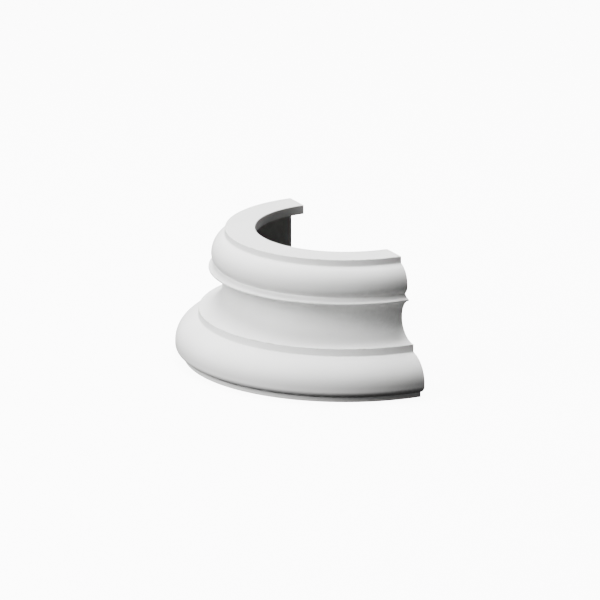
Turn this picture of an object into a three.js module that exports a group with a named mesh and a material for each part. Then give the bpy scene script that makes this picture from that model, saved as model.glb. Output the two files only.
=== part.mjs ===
// Half column base: one moulded piece, half a ring of column-base mouldings with a hollow behind it.
// Units are millimetres and +Z is up. The piece stands on its underside, its front is towards -Y,
// and its two end faces lie flat against the wall. The origin is at the middle of the footprint's box.

import * as THREE from 'three';
import { mergeGeometries, mergeVertices } from 'three/addons/utils/BufferGeometryUtils.js';

// Driving dimensions of the whole piece
const WIDTH = 350;
const HEIGHT = 136.8;

// Base fillet, the plain band that stands on the floor
const BASE_FILLET_RADIUS = 166.5;

// Lower torus: an elliptical roll about a centre line, with a short upright belly at its widest
const LOWER_TORUS = {
  centre: 144.8,
  reach: WIDTH / 2 - 144.8,
  bellyBottom: 13.2,
  bellyTop: 16.6,
  rise: 27.3,
  fall: 11.5,
};

// Middle fillet, between the lower torus and the scotia
const MIDDLE_FILLET_RADIUS = 150.8;
const MIDDLE_FILLET_TOP = 51.4;

// Scotia, the hollow moulding, narrowest at its throat; its upper curve is struck from outside the lip
const THROAT_RADIUS = 126;
const THROAT_HEIGHT = 74;
const SCOTIA_UPPER_CENTRE = 144;

// Lip, the thin edge over the scotia, and the point that bends the shallow cove flaring out to it
const LIP_RADIUS = 140.3;
const LIP_BOTTOM = 94;
const LIP_THICKNESS = 1.7;
const COVE_BEND = { radius: 134.4, height: 97.1 };

// Upper torus, the smaller roll over the lip
const UPPER_TORUS = {
  centre: 118.8,
  reach: 18.7,
  bellyBottom: 108.9,
  bellyTop: 108.9,
  rise: 21.5,
  fall: 13,
};
const UPPER_TORUS_FOOT_RADIUS = 132.6;

// Top fillet and the shelf that a half shaft stands on
const TOP_FILLET_RADIUS = 123.3;
const SHELF_INNER_RADIUS = 92.1;
const SHELF_THICKNESS = 9.8;

// Hollow behind the mouldings: a plain half cylinder with a coved corner under the shelf
const HOLLOW_RADIUS = 120;
const HOLLOW_COVE = 7;

// Facets: straight steps in each quarter of a curve, and in the half turn about the column's axis
const ARC_STEPS = 4;
const TURN_STEPS = 48;

const QUARTER = Math.PI / 2;

// Angle on a torus's ellipse at which it meets an upright face of the given radius
function torusAngle(torus, radius) {
  return Math.acos((radius - torus.centre) / torus.reach);
}

// Draws a torus from the face it rises out of to the face it ends against, bottom to top
function drawTorus(path, torus, footRadius, headRadius) {
  const foot = torusAngle(torus, footRadius);
  const head = torusAngle(torus, headRadius);
  path.absellipse(torus.centre, torus.bellyBottom, torus.reach, torus.fall, -foot, 0);
  path.absellipse(torus.centre, torus.bellyTop, torus.reach, torus.rise, 0, head);
}

// Section through the moulding: x is the distance from the column's axis and y is the height
function mouldingSection() {
  const section = new THREE.Shape();
  section.moveTo(HOLLOW_RADIUS, 0);
  section.lineTo(BASE_FILLET_RADIUS, 0);
  drawTorus(section, LOWER_TORUS, BASE_FILLET_RADIUS, MIDDLE_FILLET_RADIUS);
  drawScotia(section);
  drawLip(section);
  drawTorus(section, UPPER_TORUS, UPPER_TORUS_FOOT_RADIUS, TOP_FILLET_RADIUS);
  drawShelf(section);
  drawHollow(section);
  return section;
}

// Two unequal elliptical curves that meet at the throat, the upper one ending at the lip
function drawScotia(section) {
  const lowerDepth = MIDDLE_FILLET_RADIUS - THROAT_RADIUS;
  const lowerHeight = THROAT_HEIGHT - MIDDLE_FILLET_TOP;
  section.absellipse(
    MIDDLE_FILLET_RADIUS, THROAT_HEIGHT, lowerDepth, lowerHeight, 3 * QUARTER, 2 * QUARTER, true,
  );
  const upperDepth = SCOTIA_UPPER_CENTRE - THROAT_RADIUS;
  const lipAngle = Math.acos((LIP_RADIUS - SCOTIA_UPPER_CENTRE) / upperDepth);
  const upperHeight = (LIP_BOTTOM - THROAT_HEIGHT) / Math.sin(lipAngle);
  section.absellipse(
    SCOTIA_UPPER_CENTRE, THROAT_HEIGHT, upperDepth, upperHeight, 2 * QUARTER, lipAngle, true,
  );
}

// The lip's upright edge and the cove that rises from it to the foot of the upper torus
function drawLip(section) {
  const foot = torusAngle(UPPER_TORUS, UPPER_TORUS_FOOT_RADIUS);
  const coveTop = UPPER_TORUS.bellyBottom - UPPER_TORUS.fall * Math.sin(foot);
  section.lineTo(LIP_RADIUS, LIP_BOTTOM + LIP_THICKNESS);
  section.quadraticCurveTo(COVE_BEND.radius, COVE_BEND.height, UPPER_TORUS_FOOT_RADIUS, coveTop);
}

// Top fillet, flat top and the shelf's inner edge
function drawShelf(section) {
  section.lineTo(TOP_FILLET_RADIUS, HEIGHT);
  section.lineTo(SHELF_INNER_RADIUS, HEIGHT);
  section.lineTo(SHELF_INNER_RADIUS, HEIGHT - SHELF_THICKNESS);
}

// Coved corner under the shelf and the upright wall of the hollow
function drawHollow(section) {
  const coveRadius = HOLLOW_RADIUS - HOLLOW_COVE;
  const coveHeight = HEIGHT - SHELF_THICKNESS - HOLLOW_COVE;
  section.absellipse(coveRadius, coveHeight, HOLLOW_COVE, HOLLOW_COVE, QUARTER, 0, true);
  section.closePath();
}

// Turns the section through half a circle, from the left end round the front to the right end
function turnedSurface(section) {
  const outline = section.getPoints(ARC_STEPS);
  return new THREE.LatheGeometry(outline, TURN_STEPS, -QUARTER, Math.PI).rotateX(QUARTER);
}

// Flat end of the half ring, on the right or the left, facing the wall
function endFace(section, side) {
  const face = new THREE.ShapeGeometry(section, ARC_STEPS).rotateX(QUARTER);
  if (side === 'right') {
    face.index.array.reverse();
  } else {
    face.rotateZ(Math.PI);
  }
  return face;
}

// One closed body: the turned surface and its two ends, with their shared corners merged
function halfRing(section) {
  const surfaces = [turnedSurface(section), endFace(section, 'left'), endFace(section, 'right')];
  for (const surface of surfaces) {
    surface.deleteAttribute('normal');
    surface.deleteAttribute('uv');
  }
  const body = mergeVertices(mergeGeometries(surfaces), 1e-3);
  body.translate(0, WIDTH / 4, 0);
  body.computeVertexNormals();
  return body;
}

const whitePrimer = new THREE.MeshStandardMaterial({ color: 0xe6e6e6, roughness: 0.6, metalness: 0 });

const moulding = new THREE.Mesh(halfRing(mouldingSection()), whitePrimer);
moulding.name = 'half_column_base';

const base = new THREE.Group();
base.add(moulding);

export default base;
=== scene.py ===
import math

import bpy
from mathutils import Matrix, Vector


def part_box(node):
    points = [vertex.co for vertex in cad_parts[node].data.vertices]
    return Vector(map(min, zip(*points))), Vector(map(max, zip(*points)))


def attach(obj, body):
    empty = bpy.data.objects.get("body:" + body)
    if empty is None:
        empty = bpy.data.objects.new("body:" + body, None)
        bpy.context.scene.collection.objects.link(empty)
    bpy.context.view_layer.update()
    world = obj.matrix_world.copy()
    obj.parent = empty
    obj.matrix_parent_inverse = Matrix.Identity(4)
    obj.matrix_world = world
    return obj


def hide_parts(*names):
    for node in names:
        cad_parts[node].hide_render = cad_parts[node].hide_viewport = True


# A half column base: one white moulding, half a ring with a hollow behind it.
# Sizes are in metres. The column's axis stands on the wall plane, and the front is towards -Y.

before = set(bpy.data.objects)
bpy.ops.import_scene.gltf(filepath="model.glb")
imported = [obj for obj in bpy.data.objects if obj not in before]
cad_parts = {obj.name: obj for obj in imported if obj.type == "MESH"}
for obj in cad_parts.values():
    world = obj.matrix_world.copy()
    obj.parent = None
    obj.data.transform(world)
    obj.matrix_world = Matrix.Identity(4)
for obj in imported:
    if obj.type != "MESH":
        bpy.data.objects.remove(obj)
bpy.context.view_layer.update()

MM = 0.001
NODE = "half_column_base"
QUARTER = math.pi / 2

# Driving dimensions, from the frame
node_low, node_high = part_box(NODE)
WALL_Y = node_high.y
OUTER_RADIUS = (node_high.x - node_low.x) / 2
HEIGHT = node_high.z - node_low.z

# Radii from the column's axis
BASE_FILLET_RADIUS = 166.5 * MM
LOWER_TORUS_CENTRE = 144.8 * MM
MIDDLE_FILLET_RADIUS = 150.8 * MM
THROAT_RADIUS = 126 * MM
SCOTIA_UPPER_CENTRE = 144 * MM
LIP_RADIUS = 140.3 * MM
COVE_BEND_RADIUS = 134.4 * MM
UPPER_TORUS_CENTRE = 118.8 * MM
UPPER_TORUS_RADIUS = 137.5 * MM
UPPER_TORUS_FOOT = 132.6 * MM
TOP_FILLET_RADIUS = 123.3 * MM
SHELF_RADIUS = 92.1 * MM
HOLLOW_RADIUS = 120 * MM
HOLLOW_COVE = 7 * MM

# Heights above the underside
LOWER_BELLY_BOTTOM = 13.2 * MM
LOWER_BELLY_TOP = 16.6 * MM
LOWER_TORUS_FALL = 11.5 * MM
LOWER_TORUS_RISE = 27.3 * MM
MIDDLE_FILLET_TOP = 51.4 * MM
THROAT_HEIGHT = 74 * MM
LIP_BOTTOM = 94 * MM
LIP_TOP = 95.7 * MM
COVE_BEND_HEIGHT = 97.1 * MM
UPPER_BELLY = 108.9 * MM
UPPER_TORUS_FALL = 13 * MM
UPPER_TORUS_RISE = 21.5 * MM
SHELF_BOTTOM = HEIGHT - 9.8 * MM

# Rounding of the arrises and creases
TOP_ARRIS = 0.9 * MM
SHELF_ARRIS = 1 * MM
FILLET_ARRIS = 0.6 * MM
LIP_ARRIS = 0.7 * MM
CRISP_ARRIS = 0.45 * MM
TOP_CREASE = 2 * MM
LIP_CREASE = 1.8 * MM
MIDDLE_CREASE = 1.2 * MM
BASE_CREASE = 0.6 * MM
END_ARRIS = 0.35 * MM
END_ARRIS_ANGLE = math.radians(60)

# How finely curves are stepped, and how near two points are when they count as one
ARC_STEP = 1.3 * MM
LEAST_ARC_STEPS = 6
COVE_STEPS = 8
ROUNDING_STEPS = 3
END_ARRIS_STEPS = 2
TURN_STEPS = 180
JOIN_DISTANCE = 0.01 * MM
FLAT_FACE_WEIGHT = 100

# Colours of the finish
PRIMER_WHITE = (0.86, 0.86, 0.854, 1)
PRIMER_THIN = (0.81, 0.81, 0.802, 1)
# Painted shade: the dark grey put inside the hollow and on the shelf's inner edge
HOLLOW_PAINTED_SHADE = (0.47, 0.467, 0.457, 1)
BARE_FOAM = (0.7, 0.69, 0.66, 1)
WORN_COAT = (0.7, 0.692, 0.67, 1)
# Painted shade that darkens the pits
PIT_PAINTED_SHADE = (0.4, 0.4, 0.395, 1)

# Sizes of the finish's patterns and edges, and of the painted shade's patches and edge
COAT_CLOUD = 70 * MM
PAINTED_SHADE_PATCH = 22 * MM
SURFACE_SWELL = 30 * MM
SPRAY_DIMPLE = 2.4 * MM
FINE_TOOTH = 0.55 * MM
PIT_SPACING = 13 * MM
PIT_RADIUS = 0.32 * MM
FOAM_CELL = 1.1 * MM
TRIMMED_SKIN = 0.12 * MM
PAINTED_SHADE_EDGE = 0.8 * MM
WEAR_PATCH = 9 * MM
WEAR_WIDTH = 1.6 * MM

# Values of a pattern between which it takes effect
CLOUD_FADE = (0.3, 0.7)
PAINTED_SHADE_PATCH_FADE = (0.35, 0.75)
DIMPLE_FADE = (0.3, 0.7)
FOAM_FADE = (0.1, 0.6)
WEAR_FADE = (0.5, 0.66)

# How much of the painted shade inside shows where it is strongest, where it is weakest and on the shelf's
# edge
FULL_PAINTED_SHADE = 1
PATCHY_PAINTED_SHADE = 0.86
SHELF_EDGE_PAINTED_SHADE = 0.5

# Sheen, and depths of the relief
DIMPLE_TOP_ROUGHNESS = 0.66
DIMPLE_FLOOR_ROUGHNESS = 0.56
BARE_ROUGHNESS_GAIN = 0.2
PRIMER_SPECULAR = 0.15
SWELL_DEPTH = 0.1 * MM
DIMPLE_DEPTH = 0.03 * MM
TOOTH_DEPTH = 0.008 * MM
PIT_DEPTH = 0.2 * MM
FOAM_DEPTH = 0.08 * MM

# Studio, with bearings and rises in degrees
CAMERA_AZIMUTH = 62.86
CAMERA_ELEVATION = 16.59
CAMERA_DISTANCE = 6.0
CAMERA_LENS = 348.28
CAMERA_SENSOR = 36
CAMERA_REACH = 100
LEFT_OF_CENTRE = 46.007 * MM
BELOW_CENTRE = 55.55 * MM
LIGHT_DISTANCE = 2.5
FLOOR_SIZE = 20
FLOOR_COLOUR = (0.85, 0.85, 0.85, 1)
FLOOR_ROUGHNESS = 0.9
FLOOR_SPECULAR = 0.1
FLOOR_GLOW_COLOUR = (1, 1, 1, 1)
FLOOR_GLOW = 6
UNLIT = (0, 0, 0, 1)


# The section through the moulding, as points (radius, height)

def arc(centre, half_width, half_height, start, end):
    """Points of an elliptical arc, ends included."""
    span = abs(end - start) * (half_width + half_height) / 2
    steps = max(LEAST_ARC_STEPS, round(span / ARC_STEP))
    points = []
    for i in range(steps + 1):
        angle = start + (end - start) * i / steps
        radius = centre[0] + half_width * math.cos(angle)
        height = centre[1] + half_height * math.sin(angle)
        points.append((radius, height))
    return points


def torus_angle(centre, reach, radius):
    """Angle on a torus's ellipse where it meets an upright face of this radius."""
    return math.acos((radius - centre) / reach)


def lower_torus():
    """The large roll, from the base fillet up to the middle fillet, with a short upright belly."""
    reach = OUTER_RADIUS - LOWER_TORUS_CENTRE
    foot = torus_angle(LOWER_TORUS_CENTRE, reach, BASE_FILLET_RADIUS)
    head = torus_angle(LOWER_TORUS_CENTRE, reach, MIDDLE_FILLET_RADIUS)
    under = arc((LOWER_TORUS_CENTRE, LOWER_BELLY_BOTTOM), reach, LOWER_TORUS_FALL, -foot, 0)
    over = arc((LOWER_TORUS_CENTRE, LOWER_BELLY_TOP), reach, LOWER_TORUS_RISE, 0, head)
    return under + over


def scotia():
    """The hollow moulding: two unequal curves that meet at the throat, the upper one ending at the lip."""
    lower = arc((MIDDLE_FILLET_RADIUS, THROAT_HEIGHT), MIDDLE_FILLET_RADIUS - THROAT_RADIUS,
                THROAT_HEIGHT - MIDDLE_FILLET_TOP, 3 * QUARTER, 2 * QUARTER)
    depth = SCOTIA_UPPER_CENTRE - THROAT_RADIUS
    lip_angle = math.acos((LIP_RADIUS - SCOTIA_UPPER_CENTRE) / depth)
    rise = (LIP_BOTTOM - THROAT_HEIGHT) / math.sin(lip_angle)
    upper = arc((SCOTIA_UPPER_CENTRE, THROAT_HEIGHT), depth, rise, 2 * QUARTER, lip_angle)
    return lower + upper[1:]


def upper_torus():
    """The smaller roll, from the cove over the lip up to the top fillet."""
    reach = UPPER_TORUS_RADIUS - UPPER_TORUS_CENTRE
    foot = torus_angle(UPPER_TORUS_CENTRE, reach, UPPER_TORUS_FOOT)
    head = torus_angle(UPPER_TORUS_CENTRE, reach, TOP_FILLET_RADIUS)
    under = arc((UPPER_TORUS_CENTRE, UPPER_BELLY), reach, UPPER_TORUS_FALL, -foot, 0)
    over = arc((UPPER_TORUS_CENTRE, UPPER_BELLY), reach, UPPER_TORUS_RISE, 0, head)
    return under + over[1:]


def lip_cove(torus_foot):
    """The shallow cove from the lip's edge up towards the foot of the upper torus, which it leaves out."""
    bends = ((LIP_RADIUS, LIP_TOP), (COVE_BEND_RADIUS, COVE_BEND_HEIGHT), torus_foot)
    points = []
    for i in range(COVE_STEPS):
        along = i / COVE_STEPS
        weights = ((1 - along) ** 2, 2 * along * (1 - along), along ** 2)
        radius = sum(weight * bend[0] for weight, bend in zip(weights, bends))
        height = sum(weight * bend[1] for weight, bend in zip(weights, bends))
        points.append((radius, height))
    return points


def hollow_cove():
    """The rounded corner between the shelf's underside and the hollow's wall."""
    centre = (HOLLOW_RADIUS - HOLLOW_COVE, SHELF_BOTTOM - HOLLOW_COVE)
    return arc(centre, HOLLOW_COVE, HOLLOW_COVE, QUARTER, 0)


def moulding_section():
    """The whole outline, anticlockwise from the hollow's foot, with the rounding of each corner."""
    upper = upper_torus()
    runs = [
        ([(HOLLOW_RADIUS, 0)], CRISP_ARRIS, CRISP_ARRIS),
        ([(BASE_FILLET_RADIUS, 0)], CRISP_ARRIS, CRISP_ARRIS),
        (lower_torus(), BASE_CREASE, MIDDLE_CREASE),
        (scotia(), FILLET_ARRIS, LIP_ARRIS),
        (lip_cove(upper[0]), LIP_ARRIS, 0),
        (upper, LIP_CREASE, TOP_CREASE),
        ([(TOP_FILLET_RADIUS, HEIGHT)], TOP_ARRIS, TOP_ARRIS),
        ([(SHELF_RADIUS, HEIGHT)], SHELF_ARRIS, SHELF_ARRIS),
        ([(SHELF_RADIUS, SHELF_BOTTOM)], CRISP_ARRIS, CRISP_ARRIS),
        (hollow_cove(), 0, 0),
    ]
    outline = []
    for points, first_rounding, last_rounding in runs:
        roundings = [0] * len(points)
        roundings[-1] = last_rounding
        roundings[0] = first_rounding
        for (radius, height), rounding in zip(points, roundings):
            outline.append((radius, height, rounding))
    return outline


def section_mesh():
    """The outline as one closed loop of edges, with each corner's rounding on its point."""
    outline = moulding_section()
    count = len(outline)
    mesh = bpy.data.meshes.new("moulding_section")
    edges = [(i, (i + 1) % count) for i in range(count)]
    mesh.from_pydata([(radius, height, 0) for radius, height, corner in outline], edges, [])
    rounding = mesh.attributes.new("rounding", "FLOAT", "POINT")
    for i, (radius, height, corner) in enumerate(outline):
        rounding.data[i].value = corner
    return mesh


# Nodes that shapes and finishes share

def add_node(tree, kind, **settings):
    """New node of this kind, with its settings."""
    made = tree.nodes.new(kind)
    for name, value in settings.items():
        setattr(made, name, value)
    return made


def feed(tree, socket, value):
    """Links a socket to another one, or sets it to a number or colour."""
    if isinstance(value, bpy.types.NodeSocket):
        tree.links.new(value, socket)
    else:
        socket.default_value = value


def math_node(tree, operation, first, second=0):
    """Result of a sum on one or two sockets or numbers."""
    made = add_node(tree, "ShaderNodeMath", operation=operation)
    feed(tree, made.inputs[0], first)
    feed(tree, made.inputs[1], second)
    return made.outputs[0]


def split(tree, place):
    """The three coordinates of a place."""
    parts = add_node(tree, "ShaderNodeSeparateXYZ")
    tree.links.new(place, parts.inputs["Vector"])
    return parts.outputs


# Geometry Nodes: a straight length of the section, bent through half a turn about the column's axis

def rounded_section(tree, given):
    """The section as a closed curve, its corners rounded."""
    outline = add_node(tree, "GeometryNodeMeshToCurve")
    rounding = add_node(tree, "GeometryNodeInputNamedAttribute", data_type="FLOAT")
    rounding.inputs["Name"].default_value = "rounding"
    rounded = add_node(tree, "GeometryNodeFilletCurve", mode="POLY")
    rounded.inputs["Limit Radius"].default_value = True
    link = tree.links.new
    link(given["Section"], outline.inputs["Mesh"])
    link(outline.outputs["Curve"], rounded.inputs["Curve"])
    link(rounding.outputs["Attribute"], rounded.inputs["Radius"])
    link(given["Rounding steps"], rounded.inputs["Count"])
    return rounded.outputs["Curve"]


def straight_length(tree, given, section):
    """A straight run of the section along Z, as long as the turn's angle."""
    run_end = add_node(tree, "ShaderNodeCombineXYZ")
    run = add_node(tree, "GeometryNodeCurvePrimitiveLine")
    stepped = add_node(tree, "GeometryNodeResampleCurve")
    straight = add_node(tree, "GeometryNodeCurveToMesh")
    straight.inputs["Fill Caps"].default_value = True
    link = tree.links.new
    link(given["Turn"], run_end.inputs["Z"])
    link(run_end.outputs["Vector"], run.inputs["End"])
    link(run.outputs["Curve"], stepped.inputs["Curve"])
    link(given["Steps"], stepped.inputs["Count"])
    link(stepped.outputs["Curve"], straight.inputs["Curve"])
    link(section, straight.inputs["Profile Curve"])
    return straight.outputs["Mesh"]


def bent_round_axis(tree, given, straight):
    """The straight run bent round the axis: the distance along it becomes the angle."""
    place = add_node(tree, "GeometryNodeInputPosition")
    radius, height, angle = split(tree, place.outputs["Position"])
    across = math_node(tree, "MULTIPLY", radius, math_node(tree, "COSINE", angle))
    forward = math_node(tree, "MULTIPLY", radius, math_node(tree, "SINE", angle))
    bent = add_node(tree, "ShaderNodeCombineXYZ")
    turned = add_node(tree, "GeometryNodeSetPosition")
    link = tree.links.new
    link(across, bent.inputs["X"])
    link(math_node(tree, "SUBTRACT", given["Wall plane"], forward), bent.inputs["Y"])
    link(height, bent.inputs["Z"])
    link(straight, turned.inputs["Geometry"])
    link(bent.outputs["Vector"], turned.inputs["Position"])
    return turned.outputs["Geometry"]


def half_turn_tree():
    """Node tree that makes the half ring from its section."""
    tree = bpy.data.node_groups.new("half_turn", "GeometryNodeTree")
    given_sockets = (
        ("Section", "NodeSocketGeometry"),
        ("Turn", "NodeSocketFloat"),
        ("Steps", "NodeSocketInt"),
        ("Rounding steps", "NodeSocketInt"),
        ("Wall plane", "NodeSocketFloat"),
        ("Join distance", "NodeSocketFloat"),
        ("Finish", "NodeSocketMaterial"),
    )
    for name, kind in given_sockets:
        tree.interface.new_socket(name, in_out="INPUT", socket_type=kind)
    tree.interface.new_socket("Moulding", in_out="OUTPUT", socket_type="NodeSocketGeometry")
    given = add_node(tree, "NodeGroupInput").outputs
    straight = straight_length(tree, given, rounded_section(tree, given))
    turned = bent_round_axis(tree, given, straight)

    # Points that fall together at full roundings are joined, and the piece gets its finish
    joined = add_node(tree, "GeometryNodeMergeByDistance")
    realized = add_node(tree, "GeometryNodeRealizeInstances")
    finished = add_node(tree, "GeometryNodeSetMaterial")
    result = add_node(tree, "NodeGroupOutput")
    link = tree.links.new
    link(turned, joined.inputs["Geometry"])
    link(given["Join distance"], joined.inputs["Distance"])
    link(joined.outputs["Geometry"], realized.inputs["Geometry"])
    link(realized.outputs["Geometry"], finished.inputs["Geometry"])
    link(given["Finish"], finished.inputs["Material"])
    link(finished.outputs["Geometry"], result.inputs["Moulding"])
    return tree


def set_inputs(modifier, **values):
    """Sets a Geometry Nodes modifier's inputs, each by its socket's identifier."""
    for item in modifier.node_group.interface.items_tree:
        key = item.name.lower().replace(" ", "_")
        if item.in_out == "INPUT" and key in values:
            modifier[item.identifier] = values[key]


def put_in_scene(name, data):
    """New object with this data, linked to the scene."""
    made = bpy.data.objects.new(name, data)
    bpy.context.scene.collection.objects.link(made)
    return made


def make_moulding(finish):
    """The half ring as one plain mesh, with eased edges round its two ends."""
    rough = put_in_scene("section", section_mesh())
    turn = rough.modifiers.new("half_turn", "NODES")
    turn.node_group = half_turn_tree()
    set_inputs(turn, turn=math.pi, steps=TURN_STEPS + 1, rounding_steps=ROUNDING_STEPS,
               wall_plane=WALL_Y, join_distance=JOIN_DISTANCE, finish=finish)
    ends = rough.modifiers.new("end_arrises", "BEVEL")
    ends.width = END_ARRIS
    ends.segments = END_ARRIS_STEPS
    ends.limit_method = "ANGLE"
    ends.angle_limit = END_ARRIS_ANGLE
    ends.use_clamp_overlap = False
    even = rough.modifiers.new("even_shading", "WEIGHTED_NORMAL")
    even.weight = FLAT_FACE_WEIGHT
    even.keep_sharp = True
    evaluated = rough.evaluated_get(bpy.context.evaluated_depsgraph_get())
    mesh = bpy.data.meshes.new_from_object(evaluated)
    bpy.data.objects.remove(rough)
    mesh.name = "half_column_base_moulding"
    return put_in_scene("moulding", mesh)


# Finish: matt white primer, with painted shade in the hollow and on the shelf's inner edge, and bare foam
# on the faces trimmed flat

def noise(tree, place, size, detail):
    """Soft random pattern between 0 and 1 whose patches are about this size."""
    made = add_node(tree, "ShaderNodeTexNoise")
    made.inputs["Scale"].default_value = 1 / size
    made.inputs["Detail"].default_value = detail
    tree.links.new(place, made.inputs["Vector"])
    return made.outputs["Fac"]


def cell_distance(tree, place, size):
    """Distance from the nearest of many scattered points, in units of their spacing."""
    made = add_node(tree, "ShaderNodeTexVoronoi")
    made.inputs["Scale"].default_value = 1 / size
    tree.links.new(place, made.inputs["Vector"])
    return made.outputs["Distance"]


def fade(tree, value, start, end, low=0, high=1):
    """Smooth change from low to high as the value goes from start to end, held outside them."""
    made = add_node(tree, "ShaderNodeMapRange", interpolation_type="SMOOTHSTEP")
    for name, number in (("From Min", start), ("From Max", end), ("To Min", low), ("To Max", high)):
        made.inputs[name].default_value = number
    tree.links.new(value, made.inputs["Value"])
    return made.outputs["Result"]


def blend(tree, amount, first, second):
    """Colour that goes from the first to the second with the amount."""
    made = add_node(tree, "ShaderNodeMix", data_type="RGBA")
    first_colour, second_colour = [socket for socket in made.inputs if socket.type == "RGBA"]
    tree.links.new(amount, made.inputs["Factor"])
    feed(tree, first_colour, first)
    feed(tree, second_colour, second)
    return [socket for socket in made.outputs if socket.type == "RGBA"][0]


def hypotenuse(tree, first, second):
    """Long side of a right-angled triangle over its two short sides."""
    first_square = math_node(tree, "POWER", first, 2)
    second_square = math_node(tree, "POWER", second, 2)
    return math_node(tree, "SQRT", math_node(tree, "ADD", first_square, second_square))


def trimmed_faces(tree, depth, height):
    """One on the wall faces and the underside, and zero elsewhere."""
    at_wall = math_node(tree, "GREATER_THAN", depth, WALL_Y - TRIMMED_SKIN)
    at_floor = math_node(tree, "LESS_THAN", height, TRIMMED_SKIN)
    return math_node(tree, "MAXIMUM", at_wall, at_floor)


def painted_shade_faces(tree, radius, height):
    """Amount of painted shade: one in the hollow and less on the shelf's inner edge, fading out over that
    edge.
    """
    shelf_edge = fade(tree, radius, SHELF_RADIUS + PAINTED_SHADE_EDGE, SHELF_RADIUS, 0, SHELF_EDGE_PAINTED_SHADE)
    hollow = math_node(tree, "LESS_THAN", radius, HOLLOW_RADIUS + TRIMMED_SKIN)
    below_shelf = math_node(tree, "LESS_THAN", height, SHELF_BOTTOM + TRIMMED_SKIN)
    return math_node(tree, "MAXIMUM", shelf_edge, math_node(tree, "MULTIPLY", hollow, below_shelf))


def worn_arrises(tree, place, radius, height):
    """Short patches along the outer arrises, where handling has rubbed the coat thin."""
    arrises = (
        (TOP_FILLET_RADIUS, HEIGHT),
        (LIP_RADIUS, LIP_TOP),
        (MIDDLE_FILLET_RADIUS, MIDDLE_FILLET_TOP),
        (BASE_FILLET_RADIUS, 0),
    )
    nearest = WEAR_WIDTH
    for arris_radius, arris_height in arrises:
        outward = math_node(tree, "SUBTRACT", radius, arris_radius)
        upward = math_node(tree, "SUBTRACT", height, arris_height)
        nearest = math_node(tree, "MINIMUM", nearest, hypotenuse(tree, outward, upward))
    along = fade(tree, nearest, WEAR_WIDTH, WEAR_WIDTH / 3)
    patches = fade(tree, noise(tree, place, WEAR_PATCH, detail=3), *WEAR_FADE)
    return math_node(tree, "MULTIPLY", along, patches)


def layered(tree, layers):
    """Sum of patterns, each times its own depth."""
    total = 0
    for pattern, depth in layers:
        total = math_node(tree, "ADD", total, math_node(tree, "MULTIPLY", pattern, depth))
    return total


def new_material(name):
    """New material, with its shader."""
    material = bpy.data.materials.new(name)
    material.use_nodes = True
    return material, material.node_tree.nodes["Principled BSDF"]


def white_primer():
    """The sprayed coat, with painted shade in the hollow and in the pits, and all that shows beside it and
    through it.
    """
    material, shader = new_material("white_primer")
    tree = material.node_tree
    link = tree.links.new
    place = add_node(tree, "ShaderNodeTexCoord").outputs["Object"]
    across, depth, height = split(tree, place)
    radius = hypotenuse(tree, across, math_node(tree, "SUBTRACT", depth, WALL_Y))

    # Where each finish lies, and where the painted shade goes
    trimmed = trimmed_faces(tree, depth, height)
    inside_painted_shade = painted_shade_faces(tree, radius, height)
    worn = worn_arrises(tree, place, radius, height)
    bare = math_node(tree, "MAXIMUM", trimmed, worn)

    # Patterns of the coat and the foam, and the patches of the painted shade
    clouds = fade(tree, noise(tree, place, COAT_CLOUD, detail=3), *CLOUD_FADE)
    patches = noise(tree, place, PAINTED_SHADE_PATCH, detail=4)
    painted_shade_patches = fade(tree, patches, *PAINTED_SHADE_PATCH_FADE, FULL_PAINTED_SHADE, PATCHY_PAINTED_SHADE)
    swell = noise(tree, place, SURFACE_SWELL, detail=1)
    dimples = noise(tree, place, SPRAY_DIMPLE, detail=1)
    tooth = noise(tree, place, FINE_TOOTH, detail=1)
    pit_size = PIT_RADIUS / PIT_SPACING
    pits = fade(tree, cell_distance(tree, place, PIT_SPACING), pit_size, pit_size / 2)
    foam = fade(tree, cell_distance(tree, place, FOAM_CELL), *FOAM_FADE)
    cells = math_node(tree, "MULTIPLY", foam, trimmed)

    # Colour
    primed = blend(tree, clouds, PRIMER_THIN, PRIMER_WHITE)
    # Dark grey in patches inside the hollow and on the shelf's inner edge: painted shade
    with_painted_shade = blend(tree, math_node(tree, "MULTIPLY", inside_painted_shade, painted_shade_patches), primed, HOLLOW_PAINTED_SHADE)
    rubbed = blend(tree, worn, with_painted_shade, WORN_COAT)
    bared = blend(tree, trimmed, rubbed, BARE_FOAM)
    # Pits darkened in colour: painted shade; their depth is in the relief below
    link(blend(tree, pits, bared, PIT_PAINTED_SHADE), shader.inputs["Base Color"])

    # Sheen
    satin = fade(tree, dimples, *DIMPLE_FADE, DIMPLE_FLOOR_ROUGHNESS, DIMPLE_TOP_ROUGHNESS)
    rougher = math_node(tree, "MULTIPLY", bare, BARE_ROUGHNESS_GAIN)
    link(math_node(tree, "ADD", satin, rougher), shader.inputs["Roughness"])
    shader.inputs["Specular IOR Level"].default_value = PRIMER_SPECULAR

    # Relief
    relief = add_node(tree, "ShaderNodeBump")
    relief.inputs["Distance"].default_value = 1
    layers = (
        (swell, SWELL_DEPTH),
        (dimples, DIMPLE_DEPTH),
        (tooth, TOOTH_DEPTH),
        (pits, -PIT_DEPTH),
        (cells, FOAM_DEPTH),
    )
    link(layered(tree, layers), relief.inputs["Height"])
    link(relief.outputs["Normal"], shader.inputs["Normal"])
    return material


# Studio: a camera, a plain pale floor and soft lights

def direction(azimuth, elevation):
    """Unit vector towards a bearing from the front, with right as positive, and a rise above level."""
    bearing = math.radians(azimuth)
    rise = math.radians(elevation)
    level = math.cos(rise)
    return Vector((math.sin(bearing) * level, -math.cos(bearing) * level, math.sin(rise)))


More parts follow.
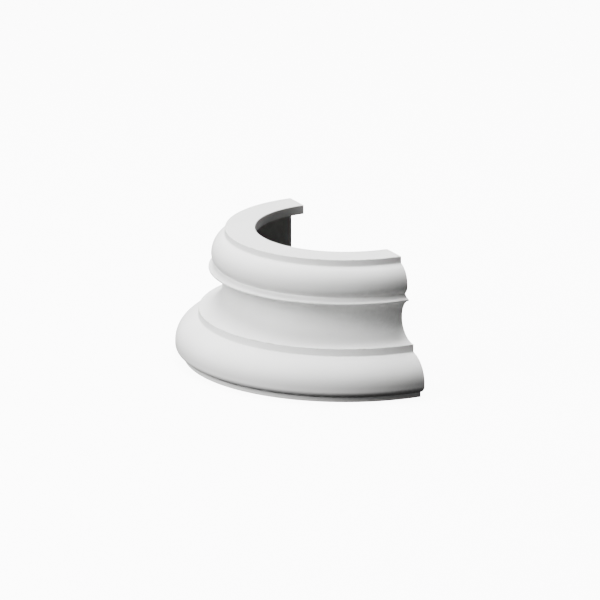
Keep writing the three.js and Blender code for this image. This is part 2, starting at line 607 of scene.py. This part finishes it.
def photo_camera():
    """Camera that sees the base as the photograph does, placed from the foot of the column's axis."""
    back = direction(CAMERA_AZIMUTH, CAMERA_ELEVATION)
    right = direction(CAMERA_AZIMUTH + 90, 0)
    up = back.cross(right)
    data = bpy.data.cameras.new("camera")
    data.sensor_width = CAMERA_SENSOR
    data.lens = CAMERA_LENS
    data.clip_end = CAMERA_REACH
    camera = put_in_scene("camera", data)
    axis_foot = Vector((0, WALL_Y, 0))
    place = axis_foot + back * CAMERA_DISTANCE - right * LEFT_OF_CENTRE + up * BELOW_CENTRE
    turned = Matrix((right, up, back)).transposed().to_4x4()
    camera.matrix_world = Matrix.Translation(place) @ turned
    bpy.context.scene.camera = camera


def floor():
    """Plain pale floor that the base stands on; it does not throw light back up under the mouldings."""
    mesh = bpy.data.meshes.new("floor")
    half = FLOOR_SIZE / 2
    corners = [(-half, -half, 0), (half, -half, 0), (half, half, 0), (-half, half, 0)]
    mesh.from_pydata(corners, [], [(0, 1, 2, 3)])
    material, shader = new_material("floor")
    shader.inputs["Base Color"].default_value = FLOOR_COLOUR
    shader.inputs["Roughness"].default_value = FLOOR_ROUGHNESS
    shader.inputs["Specular IOR Level"].default_value = FLOOR_SPECULAR
    shader.inputs["Emission Color"].default_value = FLOOR_GLOW_COLOUR
    shader.inputs["Emission Strength"].default_value = FLOOR_GLOW
    mesh.materials.append(material)
    made = put_in_scene("floor", mesh)
    made.visible_diffuse = False
    made.visible_glossy = False


def soft_light(name, azimuth, elevation, width, height, power):
    """Soft box facing the base, placed by its bearing from the front and its rise above level."""
    towards = direction(azimuth, elevation)
    data = bpy.data.lights.new(name, "AREA")
    data.shape = "RECTANGLE"
    data.size = width
    data.size_y = height
    data.energy = power
    light = put_in_scene(name, data)
    light.location = Vector((0, 0, HEIGHT / 2)) + towards * LIGHT_DISTANCE
    light.rotation_mode = "QUATERNION"
    light.rotation_quaternion = towards.to_track_quat("Z", "Y")


def studio():
    """Soft lights above, in front and at the right, and a weak one behind that shows the hollow."""
    soft_light("overhead", azimuth=-90, elevation=80, width=1.6, height=1.6, power=126)
    soft_light("front", azimuth=4, elevation=30, width=1.2, height=1.4, power=86)
    soft_light("right", azimuth=90, elevation=5, width=1.2, height=1.2, power=4)
    soft_light("behind_left", azimuth=-150, elevation=14, width=1.2, height=1.2, power=14)
    world = bpy.data.worlds.new("studio")
    world.use_nodes = True
    world.node_tree.nodes["Background"].inputs["Color"].default_value = UNLIT
    bpy.context.scene.world = world
    bpy.context.scene.view_settings.view_transform = "Filmic"


moulding = make_moulding(white_primer())
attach(moulding, "root")
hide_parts(NODE)
photo_camera()
floor()
studio()
